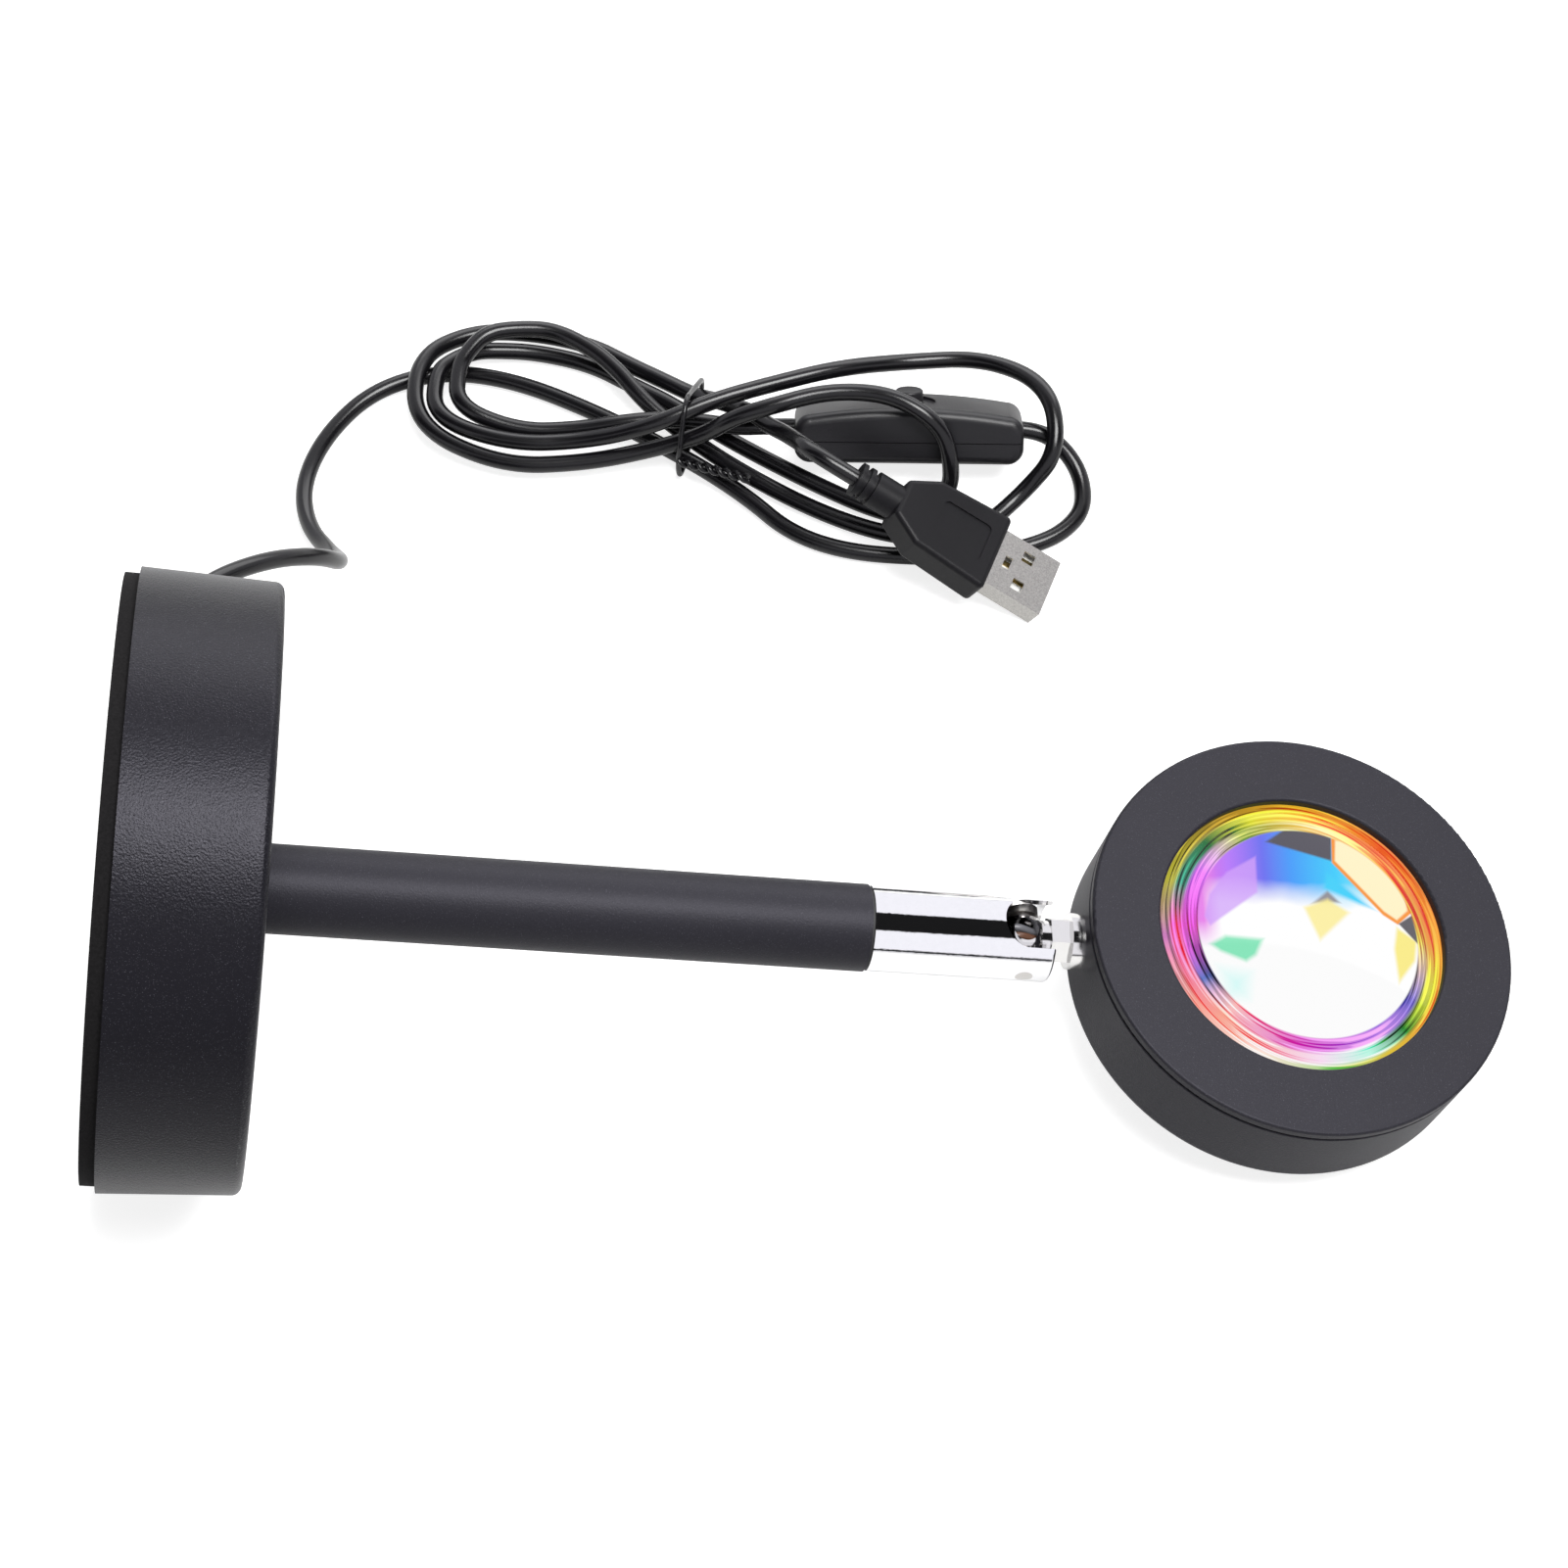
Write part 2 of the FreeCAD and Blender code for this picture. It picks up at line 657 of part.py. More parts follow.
def head_locknut():
    start = head_radius - math.sqrt((head_radius - head_wall) ** 2 - lock_nut_flats ** 2 / 3) + rim_start
    nut = hexagon(lock_nut_flats, start, start + lock_nut_thickness)
    return at_pivot(nut.cut(rod(stub_radius + running_fit, start, start + lock_nut_thickness)))


# ---------------------------------------------------------------- head, built about its own axis

def head_shell():
    """Cup that closes the head behind and carries the neck in its rim."""
    cup = rod(head_radius, head_back, shell_front)
    cup = rounded(cup, head_back_round, head_radius, head_back)
    cup = rounded(cup, bezel_edge_round / 2, head_radius, shell_front)
    cup = cup.cut(rod(head_radius - head_wall, head_back + head_back_wall, shell_front))
    neck_hole = at_pivot(rod(stub_radius + running_fit, rim_start - 1, rim_start + 2 * head_wall))
    return turned(cup, in_head).cut(neck_hole)


def front_bezel():
    """Flat front ring with a shadow step behind its edge and a spigot into the shell."""
    plate = rod(head_radius, bezel_back, head_front)
    plate = rounded(plate, bezel_edge_round, head_radius, head_front)
    step = rod(head_radius - bezel_step, bezel_back - bezel_step, bezel_back)
    spigot_radius = head_radius - head_wall - running_fit
    spigot = rod(spigot_radius, bezel_back - bezel_step - bezel_spigot_depth, bezel_back - bezel_step)
    bezel = plate.fuse(step).fuse(spigot)
    hollow = rod(spigot_radius - bezel_spigot_wall, bezel_back - bezel_step - bezel_spigot_depth, bezel_back)
    bezel = bezel.cut(hollow).cut(rod(opening_radius, bezel_back, head_front))
    return turned(rounded(bezel, bezel_edge_round, opening_radius, head_front), in_head)


def front_lens():
    """Thick lens, flat behind and domed in front, held by its flange behind the bezel."""
    rim = opening_radius - seat_gap
    ball = (rim ** 2 + lens_dome_height ** 2) / (2 * lens_dome_height)
    crown = bezel_back + lens_dome_height
    middle = Vector(rim / 2, 0, crown - ball + math.sqrt(ball ** 2 - rim ** 2 / 4))
    dome = Part.Arc(Vector(rim, 0, bezel_back), middle, Vector(0, 0, crown)).toShape()
    sides = Part.makePolygon([Vector(0, 0, crown), Vector(0, 0, lens_back),
                              Vector(lens_flange_radius, 0, lens_back),
                              Vector(lens_flange_radius, 0, bezel_back), Vector(rim, 0, bezel_back)])
    return turned(Part.Face(Part.Wire([dome] + sides.Edges)).revolve(Vector(), Z, 360), in_head)


def lens_holder():
    """Dark tube between heat plate and lens, with the shelf that carries the filter."""
    outer, inner = lens_flange_radius, holder_bore
    holder = ring(outer, inner, plate_top, lens_back)
    shelf = ring(inner, filter_shelf_radius, shelf_top - filter_shelf_thickness, shelf_top)
    collar = ring(inner, filter_radius + seat_gap, shelf_top, filter_top)
    holder = holder.fuse(shelf).fuse(collar)
    notch = block((-3, 0, plate_top), (3, 2 * outer, board_top + 2 * wire_radius + body_gap))
    return turned(holder.cut(notch), in_head)


def colour_filter():
    return turned(rod(filter_radius, shelf_top, filter_top), in_head)


def heat_plate():
    return turned(rod(head_radius - head_wall - seat_gap, head_back + head_back_wall, plate_top), in_head)


def led_board():
    return turned(rod(board_radius, plate_top, board_top), in_head)


def led_chip():
    half = chip_side / 2
    return turned(block((-half, -half, board_top), (half, half, board_top + chip_thickness)), in_head)


def condenser_lens():
    """Small domed lens over the chip, standing on the board by its hollow foot."""
    shoulder = board_top + condenser_height
    pocket_radius, pocket_top = chip_side * 0.75, board_top + chip_thickness + body_gap
    ball = (condenser_radius ** 2 + condenser_dome ** 2) / (2 * condenser_dome)
    crown = shoulder + condenser_dome
    middle = Vector(condenser_radius / 2, 0, crown - ball + math.sqrt(ball ** 2 - condenser_radius ** 2 / 4))
    dome = Part.Arc(Vector(condenser_radius, 0, shoulder), middle, Vector(0, 0, crown)).toShape()
    sides = Part.makePolygon([Vector(0, 0, crown), Vector(0, 0, pocket_top),
                              Vector(pocket_radius, 0, pocket_top), Vector(pocket_radius, 0, board_top),
                              Vector(condenser_radius, 0, board_top), Vector(condenser_radius, 0, shoulder)])
    return turned(Part.Face(Part.Wire([dome] + sides.Edges)).revolve(Vector(), Z, 360), in_head)


def board_screws():
    screws = []
    for turn in (90, 210, 330):
        at = Rotation(Z, turn).multVec(X) * board_screw_circle
        screws.append(Part.makeCylinder(board_screw_radius, board_screw_height, at + Z * board_top))
    return turned(group(screws), in_head)


def head_wires():
    """Wire pair from the neck's bore, through the notch in the lens holder, to the board."""
    neck_mouth = head_radius - head_wall - lock_nut_thickness - stub_inside_head
    level = board_top + wire_radius
    way = [(neck_mouth, 0), (neck_mouth - 1.2, 0), (neck_mouth - 2.3, level / 2),
           (neck_mouth - 3.4, level), (neck_mouth - 7, level), (board_radius - 3, level)]
    wires = []
    for side in (-1, 1):
        points = [Vector(side * wire_spacing, y, z) for y, z in way]
        wires.append(tube(route(points)[0], wire_radius))
    return turned(group(wires), in_head)


# ---------------------------------------------------------------- switch on the lead

def switch_outside():
    """Crowned, round-cornered body, its length along x and its button towards z."""
    half, bottom = switch_length / 2, -switch_height / 2
    crown, end = switch_height / 2, switch_end_height - switch_height / 2
    r = switch_corner_round
    slant = r * (1 - math.sqrt(0.5))

    def at(x, z):
        return Vector(x, 0, z)

    outline = [
        Part.LineSegment(at(-half + r, bottom), at(half - r, bottom)),
        Part.Arc(at(half - r, bottom), at(half - slant, bottom + slant), at(half, bottom + r)),
        Part.LineSegment(at(half, bottom + r), at(half, end - r)),
        Part.Arc(at(half, end - r), at(half - slant, end - slant), at(half - r, end)),
        Part.Arc(at(half - r, end), at(0, crown), at(-half + r, end)),
        Part.Arc(at(-half + r, end), at(-half + slant, end - slant), at(-half, end - r)),
        Part.LineSegment(at(-half, end - r), at(-half, bottom + r)),
        Part.Arc(at(-half, bottom + r), at(-half + slant, bottom + slant), at(-half + r, bottom)),
    ]
    face = Part.Face(Part.Wire([curve.toShape() for curve in outline]))
    face.translate(Y * -switch_width / 2)
    body = face.extrude(Y * switch_width)
    rims = [edge for edge in body.Edges
            if abs(abs(edge.BoundBox.Center.y) - switch_width / 2) < 1e-4 and edge.BoundBox.YLength < 1e-4]
    return body.makeFillet(switch_edge_round, rims)


def switch_half(bottom, top):
    """One moulded half between two heights, hollow, with half-holes for the lead."""
    half, side, wall = switch_length / 2, switch_width / 2, switch_wall
    cavity = block((-half + wall, -side + wall, -switch_height / 2 + wall),
                   (half - wall, side - wall, cavity_top))
    shell = switch_outside().common(block((-half, -side, bottom), (half, side, top)))
    lead_hole = Part.makeCylinder(cord_radius + running_fit, 4 * half, X * -2 * half, X)
    return shell.cut(cavity).cut(lead_hole)


def switch_cover():
    shell = switch_half(switch_parting + switch_parting_gap / 2, switch_height)
    hole = rod(button_radius + seat_gap, 0, switch_height)
    seat = rod(button_radius + 1.1, switch_height / 2 - 0.5, switch_height)
    for side in (-1, 1):
        end = seat.copy()
        end.translate(X * side * 1.3)
        shell = shell.cut(end)
    return turned(shell.cut(hole), switch_place)


def switch_base():
    return turned(switch_half(-switch_height, switch_parting - switch_parting_gap / 2), switch_place)


def switch_button():
    flange_top = cavity_top - running_fit
    button = rod(button_radius, flange_top - button_flange_thickness, switch_height / 2 + button_rise)
    button = rounded(button, 0.5, button_radius, switch_height / 2 + button_rise)
    flange = rod(button_flange_radius, flange_top - button_flange_thickness, flange_top)
    return turned(button.fuse(flange), switch_place)


def switch_contacts():
    floor = -switch_height / 2 + switch_wall
    top = cavity_top - button_flange_thickness - button_travel - body_gap
    length, width = contact_block
    return turned(block((-length / 2, -width / 2, floor), (length / 2, width / 2, top)), switch_place)


# ---------------------------------------------------------------- plug, tip at the origin, cord towards -x

def usb_grip():
    """Moulded grip: wide flat body, tapered shoulders and a ribbed strain relief."""
    shell_end = -shell_length
    shoulder = shell_end - grip_length
    neck = shoulder - grip_flare
    relief = neck - grip_neck
    half = grip_thickness / 2
    outline = [(shell_end, grip_width / 2), (shoulder, grip_width_back / 2), (neck, grip_neck_radius + 0.4),
               (neck, -grip_neck_radius - 0.4), (shoulder, -grip_width_back / 2),
               (shell_end, -grip_width / 2)]
    corners = [Vector(x, y, -half) for x, y in outline]
    body = Part.Face(Part.makePolygon(corners + corners[:1])).extrude(Z * grip_thickness)
    body = body.makeFillet(grip_round, body.Edges)
    neck_body = Part.makeCylinder(grip_neck_radius, grip_neck + 1.5, X * relief, X)
    body = body.fuse(neck_body)
    core = Part.makeCylinder(grip_neck_radius - 0.8, grip_relief, X * grip_back, X)
    body = body.fuse(core)
    rib = grip_relief / 4
    for count in range(2):
        rib_start = X * (grip_back + 2 * count * rib)
        body = body.fuse(Part.makeCylinder(grip_neck_radius - 0.1, rib, rib_start, X))
    panel = block((shoulder + 2.0, -grip_width_back / 4 - 0.4, half - 0.3),
                  (shell_end - 3.0, grip_width_back / 4 + 0.4, half + 1))
    upright = [edge for edge in panel.Edges if edge.BoundBox.ZLength > 1]
    body = body.cut(panel.makeFillet(1.0, upright))
    pocket = block((shell_end - shell_insert, -shell_width / 2, -shell_height / 2),
                   (shell_end, shell_width / 2, shell_height / 2))
    bore = Part.makeCylinder(cord_radius + running_fit, grip_relief + grip_neck, X * grip_back, X)
    return turned(body.cut(pocket).cut(bore), plug_place)


def usb_shell():
    """Folded steel shell with two latch windows and a seam slot in its upper face."""
    wide, tall = shell_width / 2, shell_height / 2
    back = -shell_length - shell_insert
    shell = block((back, -wide, -tall), (0, wide, tall))
    inner_wide, inner_tall = wide - shell_wall, tall - shell_wall
    shell = shell.cut(block((back + shell_wall, -inner_wide, -inner_tall), (1, inner_wide, inner_tall)))
    for side in (-1, 1):
        shell = shell.cut(block((-7.2, side * 3.1 - 1.1, 0), (-4.9, side * 3.1 + 1.1, 2 * tall)))
    slot = block((-10.2, -1.3, 0), (-8.8, 1.3, 2 * tall))
    return turned(shell.cut(slot), plug_place)


def usb_tongue():
    wide, tall = shell_width / 2 - shell_wall, shell_height / 2 - shell_wall
    back = -shell_length - shell_insert + shell_wall
    front = block((back, -wide + seat_gap, -tall), (-0.8, wide - seat_gap, -0.1))
    return turned(front, plug_place)


def usb_contacts():
    """Four gilt strips on the tongue; the outer two reach further forward."""
    strips = []
    for y, front in ((-3.5, -1.8), (-1.0, -2.8), (1.0, -2.8), (3.5, -1.8)):
        strips.append(block((-11.0, y - 0.5, -0.1), (front, y + 0.5, 0.1)))
    return turned(group(strips), plug_place)


lamp_parts = [
    foot_pad, bottom_plate, base_cover, base_weight, base_washer, base_nut, cord_grommet, cord_in_base,
    post_rod, post_bush, post_tube, post_cap, post_wires,
    pan_washer, pan_spring, pan_nut, joint_barrel, tilt_pins, tilt_washers, joint_wires,
    neck_knuckle, neck_nut, head_locknut,
    head_shell, front_bezel, front_lens, lens_holder, colour_filter, heat_plate, led_board, led_chip,
    condenser_lens, board_screws, head_wires,
]
table_parts = [
    cord_lead, cord_hank, cord_tie,
    switch_cover, switch_base, switch_button, switch_contacts,
    usb_grip, usb_shell, usb_tongue, usb_contacts,
]


def main():
    os.makedirs("parts", exist_ok=True)
    for make in lamp_parts:
        turned(make(), lying).exportStep("parts/" + make.__name__ + ".step")
    for make in table_parts:
        make().exportStep("parts/" + make.__name__ + ".step")
    turn = lying.Rotation
    print("post way", turn.multVec(Z), "lens way", turn.multVec(Y), "pin way", turn.multVec(X))
    print("pan point", lying.multVec(Z * barrel_bottom), "pivot", lying.multVec(Z * pivot_height))
    print("foot point", lying.multVec(Vector()), "plug tip", Vector(*plug_tip),
          "plug way", plug_place.Rotation.multVec(X))
    print("button way", switch_place.Rotation.multVec(Z), "button travel", button_travel)
    print("cord exit", lying.multVec(at_exit.multVec(Z * grommet_nose)),
          "switch ends", switch_place.multVec(X * -switch_length / 2),
          switch_place.multVec(X * switch_length / 2),
          "plug cord end", plug_place.multVec(X * grip_back))


main()
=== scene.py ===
import json
import math

import bpy
from mathutils import Matrix, Vector

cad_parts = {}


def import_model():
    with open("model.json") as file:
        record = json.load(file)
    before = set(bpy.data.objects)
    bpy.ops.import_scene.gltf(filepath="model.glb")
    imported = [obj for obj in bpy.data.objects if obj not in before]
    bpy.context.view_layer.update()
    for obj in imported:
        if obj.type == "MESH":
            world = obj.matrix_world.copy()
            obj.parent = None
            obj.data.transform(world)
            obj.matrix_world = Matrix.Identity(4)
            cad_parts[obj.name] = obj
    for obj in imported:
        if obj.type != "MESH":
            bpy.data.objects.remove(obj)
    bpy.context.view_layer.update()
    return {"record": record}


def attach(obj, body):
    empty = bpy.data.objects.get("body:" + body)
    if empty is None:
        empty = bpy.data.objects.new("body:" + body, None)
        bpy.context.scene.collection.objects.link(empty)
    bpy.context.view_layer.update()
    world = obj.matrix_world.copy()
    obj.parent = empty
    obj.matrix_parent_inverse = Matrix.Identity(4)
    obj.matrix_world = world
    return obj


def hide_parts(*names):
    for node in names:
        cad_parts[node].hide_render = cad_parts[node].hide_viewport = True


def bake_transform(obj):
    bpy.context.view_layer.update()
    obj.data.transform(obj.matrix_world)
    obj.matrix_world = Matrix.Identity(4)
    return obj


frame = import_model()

MM = 0.001
CORD = 3.2 * MM
JOINT_WIRE = 1.3 * MM
HEAD_REACH = 46.5 * MM  # from the tilt axis to the middle of the head

# The lens and its film of painted reflections in millimetres: up the post and along the pins from the
# middle of the head, and outwards from there
LENS_BACK = 5.95
DOME_RADIUS = 24.95
FILM_CENTRE = (2.0, 1.5)
FILM_MIDDLE_RADIUS = 19.2
FILM_RINGS_WIDTH = 6.2

# The camera, solved from the plug, the switch and the two round rims
CAMERA_PLACE = (-7.22 * MM, -236.74 * MM, 520.55 * MM)
CAMERA_ELEVATION = 1.0772  # radians
CAMERA_YAW = -0.0193
CAMERA_LENS = 75.25  # millimetres, for a sensor of this width
SENSOR_WIDTH = 36.0

joints = {joint["name"]: joint for joint in frame["record"]["behaviour"]["joints"]}
UP_POST = Vector(joints["head_pan"]["axis"]).normalized()  # along the post, towards the head
PIVOT = Vector(joints["neck_tilt"]["pos_m"])
PIN = -Vector(joints["neck_tilt"]["axis"]).normalized()  # along the tilt pins, to the photograph's top
LENS_WAY = UP_POST.cross(PIN).normalized()  # out of the lens
HEAD = PIVOT + UP_POST * HEAD_REACH
FOOT = Vector(frame["record"]["mounts"][0]["pos_m"])


def lamp(x, y, z):
    """Point given in millimetres across the pin, towards the lens and up the post."""
    return FOOT + (PIN * x + LENS_WAY * y + UP_POST * z) * MM


# ---------------------------------------------------------------- materials

class Graph:
    """Small helper around the node tree of a material or a world."""

    def __init__(self, owner):
        self.owner = owner
        owner.use_nodes = True
        self.tree = owner.node_tree
        self.tree.nodes.clear()

    def add(self, kind, settings=None, **inputs):
        """New shader node; inputs are given by name, or by number as i0, i1 and so on."""
        node = self.tree.nodes.new("ShaderNode" + kind)
        for key, value in (settings or {}).items():
            setattr(node, key, value)
        for key, value in inputs.items():
            socket = node.inputs[int(key[1:]) if key[1:].isdigit() else key.replace("_", " ")]
            if isinstance(value, bpy.types.NodeSocket):
                self.tree.links.new(value, socket)
            else:
                socket.default_value = value
        return node

    def coords(self):
        return self.add("TexCoord").outputs["Object"]

    def noise(self, scale, detail, rough=0.5, vector=None):
        return self.add("TexNoise", Vector=vector or self.coords(), Scale=scale, Detail=detail,
                        Roughness=rough).outputs["Fac"]

    def math(self, op, a, b=0.0, c=0.0, clamp=False):
        return self.add("Math", {"operation": op, "use_clamp": clamp}, i0=a, i1=b, i2=c).outputs[0]

    def ramp(self, fac, stops):
        node = self.add("ValToRGB", Fac=fac)
        elements = node.color_ramp.elements
        while len(elements) < len(stops):
            elements.new(0.5)
        for element, (place, colour) in zip(elements, stops):
            element.position = place
            element.color = (*colour, 1.0)
        return node.outputs["Color"]

    def mix(self, fac, a, b, mode="MIX"):
        node = self.add("Mix", {"data_type": "RGBA", "blend_type": mode})
        for socket, value in ((node.inputs[0], fac), (node.inputs[6], a), (node.inputs[7], b)):
            if isinstance(value, bpy.types.NodeSocket):
                self.tree.links.new(value, socket)
            elif socket.type == "RGBA":
                socket.default_value = (*value, 1.0)
            else:
                socket.default_value = value
        return node.outputs[2]

    def bump(self, height, strength, distance):
        return self.add("Bump", Height=height, Strength=strength, Distance=distance).outputs["Normal"]

    def fade(self, value, start, width):
        """Rises from 0 at the start to 1 a width further on, and stays there."""
        return self.math("MULTIPLY_ADD", value, 1 / width, -start / width, clamp=True)

    def output(self, shader, kind="OutputMaterial"):
        end = self.add(kind)
        self.tree.links.new(shader.outputs[0], end.inputs[0])
        return self.owner

    def finish(self, **inputs):
        return self.output(self.add("BsdfPrincipled", **inputs))


def new_material(name):
    return Graph(bpy.data.materials.new(name))


def srgb(*values):
    """Linear colour from three display values between 0 and 255."""
    return tuple(v / 255 / 12.92 if v < 11 else ((v / 255 + 0.055) / 1.055) ** 2.4 for v in values)


# Colour and share of the painted glints: specks of sparkle painted into the powder coats' colour
GLINT_COLOUR = (0.16, 0.16, 0.19)
GLINT_STRENGTH = 0.25
COAT_SHEEN = (0.90, 0.88, 1.0, 1.0)


def powder_coat(name, colour, grain, depth, rough, glint_threshold, shine=0.5):
    """Powder coat: fine orange-peel grain, slight tone changes and a few bright specks painted as
    glints.

    The size and the depth of the grain are in millimetres; fewer painted glints show as the glint
    threshold nears 1.
    """
    g = new_material(name)
    at = g.coords()
    fine = g.noise(1.0 / (grain * MM), detail=3.0, rough=0.6, vector=at)
    broad = g.noise(35.0, detail=3.0, rough=0.55, vector=at)
    glint_noise = g.noise(1.0 / (0.5 * grain * MM), detail=0.0, vector=at)
    cells = g.add("TexVoronoi", {"feature": "F1"}, Vector=at, Scale=1.0 / (grain * 1.3 * MM))
    tone = g.mix(g.math("MULTIPLY", broad, 0.5), colour, tuple(c * 1.5 for c in colour))
    # painted glints: a few bright specks of sparkle painted into the coat's colour
    glint = g.math("GREATER_THAN", glint_noise, glint_threshold)
    tone = g.mix(g.math("MULTIPLY", glint, GLINT_STRENGTH), tone, GLINT_COLOUR)
    height = g.math("ADD", fine, g.math("MULTIPLY", cells.outputs["Distance"], 0.8))
    roughness = g.math("ADD", g.math("MULTIPLY", fine, 0.12), rough)
    return g.finish(Base_Color=tone, Roughness=roughness, Specular_IOR_Level=shine,
                    Specular_Tint=COAT_SHEEN, Normal=g.bump(height, 0.6, depth * MM))


def satin(name, colour, rough, grain=0.25, depth=0.012, shine=0.5):
    """Moulded plastic or PVC with a faint grain, whose size and depth are in millimetres."""
    g = new_material(name)
    at = g.coords()
    fine = g.noise(1.0 / (grain * MM), detail=2.0, rough=0.6, vector=at)
    broad = g.noise(60.0, detail=3.0, rough=0.5, vector=at)
    tone = g.mix(broad, tuple(c * 0.8 for c in colour), tuple(c * 1.3 for c in colour))
    roughness = g.math("ADD", g.math("MULTIPLY", broad, 0.1), rough)
    return g.finish(Base_Color=tone, Roughness=roughness, Specular_IOR_Level=shine,
                    Normal=g.bump(fine, 0.5, depth * MM))


def bright_metal(name, colour, rough, marks, depth, mottle=0.07):
    """Plated or polished metal: marks per metre, their depth in millimetres, and their contrast."""
    g = new_material(name)
    polish = g.noise(marks, detail=4.0, rough=0.6)
    tone = g.mix(polish, tuple(c * (1 - mottle) for c in colour), colour)
    roughness = g.math("ADD", g.math("MULTIPLY", polish, 0.05), rough)
    return g.finish(Base_Color=tone, Metallic=1.0, Roughness=roughness,
                    Normal=g.bump(polish, 0.3, depth * MM))


def foam():
    g = new_material("foam")
    pores = g.noise(2200.0, detail=2.0, rough=0.7)
    tone = g.mix(pores, (0.002, 0.002, 0.002), (0.014, 0.013, 0.014))
    return g.finish(Base_Color=tone, Roughness=0.95, Specular_IOR_Level=0.12,
                    Normal=g.bump(pores, 0.8, 0.08 * MM))


def clear_glass(name, ior):
    g = new_material(name)
    dust = g.noise(900.0, detail=2.0)
    return g.finish(Base_Color=(1.0, 1.0, 1.0, 1.0), Roughness=g.math("MULTIPLY", dust, 0.02), IOR=ior,
                    Transmission_Weight=1.0)


def lens_axes(g):
    """Coordinates across the lens in millimetres: up the post, along the pins, and out."""
    at = g.add("VectorMath", {"operation": "SUBTRACT"}, i0=g.coords(), i1=tuple(HEAD)).outputs[0]
    scaled = g.add("VectorMath", {"operation": "SCALE"}, i0=at, Scale=1 / MM).outputs[0]
    return [g.add("VectorMath", {"operation": "DOT_PRODUCT"}, i0=scaled, i1=tuple(way)).outputs["Value"]
            for way in (UP_POST, PIN, LENS_WAY)]


def facet(g, place, corners, soft):
    """Mask of a convex patch from its corners, going round it anticlockwise, in millimetres."""
    inside = None
    for (x0, y0), (x1, y1) in zip(corners, corners[1:] + corners[:1]):
        size = math.hypot(x1 - x0, y1 - y0)
        nx, ny = (y0 - y1) / size, (x1 - x0) / size
        way = (nx, ny, -(nx * x0 + ny * y0))
        depth = g.add("VectorMath", {"operation": "DOT_PRODUCT"}, i0=place, i1=way).outputs["Value"]
        inside = depth if inside is None else g.math("MINIMUM", inside, depth)
    return g.fade(inside, 0.0, soft)


def colour_wheel(g, turn, stops):
    """Colour round the lens axis from (degrees, display colour) stops."""
    return g.ramp(turn, [(degrees / 360, srgb(*colour)) for degrees, colour in stops])


# Painted reflections on the film: corners in millimetres, display colour, softness of the edge,
# strength
REFLECTION_FACETS = [
    # violet, green and pale facets on the left
    ([(-5.8, 15.8), (-11.7, 12.1), (-15.1, 7.7), (-16.3, 3.4), (-15.3, 1.3), (-6.1, 8.4)],
     (208, 158, 250), 0.5, 0.8),
    ([(-5.5, 0.2), (-12.8, 0.4), (-16.2, -1.7), (-14.0, -3.3), (-9.4, -5.0), (-7.3, -3.5)],
     (100, 228, 175), 0.9, 0.85),
    ([(-7.5, -5.6), (-15.5, -4.7), (-14.5, -12.8), (-8.7, -12.4)], (205, 252, 248), 4.0, 0.9),
    # yellow and grey facets in the middle
    ([(6.2, 10.1), (2.5, 6.8), (8.8, 7.4)], (140, 132, 135), 0.6, 0.9),
    ([(6.1, 8.6), (1.2, 6.5), (3.8, -0.4), (10.3, 5.9)], (252, 238, 150), 0.8, 0.9),
    # cyan streak, grey crescent and cream facet with its orange edge at the upper right
    ([(6.2, 13.9), (5.1, 9.9), (11.5, 7.2), (15.6, 6.0)], (60, 208, 250), 0.9, 1.0),
    ([(-4.5, 18.2), (7.7, 15.2), (8.2, 20.1), (5.0, 21.8), (-0.5, 21.2)], (84, 82, 92), 0.5, 1.0),
    ([(7.4, 15.1), (15.6, 5.7), (18.2, 4.0), (21.1, 6.6), (20.9, 10.6), (15.6, 18.2), (13.1, 20.6),
      (7.8, 20.6)], (250, 150, 50), 0.3, 1.0),
    ([(7.9, 15.5), (15.8, 6.4), (18.1, 4.8), (20.4, 6.9), (20.1, 10.2), (15.0, 17.4), (12.7, 19.7),
      (8.4, 19.7)], (255, 244, 200), 0.4, 1.0),
    # dark and yellow facets at the right edge
    ([(17.7, 4.2), (16.7, -0.4), (16.9, -7.6), (20.8, -2.6), (21.6, 1.4)], (250, 236, 135), 0.7, 1.0),
    ([(18.1, 4.4), (21.7, 0.2), (21.7, 6.9)], (95, 92, 98), 0.3, 1.0),
]


def middle_reflections(g, right, up):
    """Inside the rings, all painted reflections: a white highlight, a violet to cyan band above it, and
    the facets.
    """
    flat = g.add("CombineXYZ", X=right, Y=up, Z=0.0).outputs[0]
    place = g.add("CombineXYZ", X=right, Y=up, Z=1.0).outputs[0]
    band_width, band_foot, band_fade, waver = 40.0, 8.0, 4.6, 3.0
    band = g.ramp(g.math("MULTIPLY_ADD", right, 1 / band_width, 0.5), [
        (0.08, srgb(225, 110, 225)), (0.22, srgb(185, 120, 250)), (0.38, srgb(105, 110, 240)),
        (0.50, srgb(65, 155, 250)), (0.70, srgb(55, 205, 252)), (0.85, srgb(130, 230, 250))])
    height = g.math("MULTIPLY_ADD", g.noise(0.12, detail=2.0, vector=flat), waver, up)
    colour = g.mix(g.fade(height, band_foot, band_fade), (1.0, 1.0, 1.0), band)
    left_edge = g.math("MULTIPLY", g.fade(right, -13.2, -3.0), g.fade(up, -2.5, 5.0))
    colour = g.mix(left_edge, colour, srgb(232, 130, 235))
    for corners, tint, soft, strength in REFLECTION_FACETS:
        mask = g.math("MULTIPLY", facet(g, place, corners, soft), strength)
        colour = g.mix(mask, colour, srgb(*tint))
    return colour
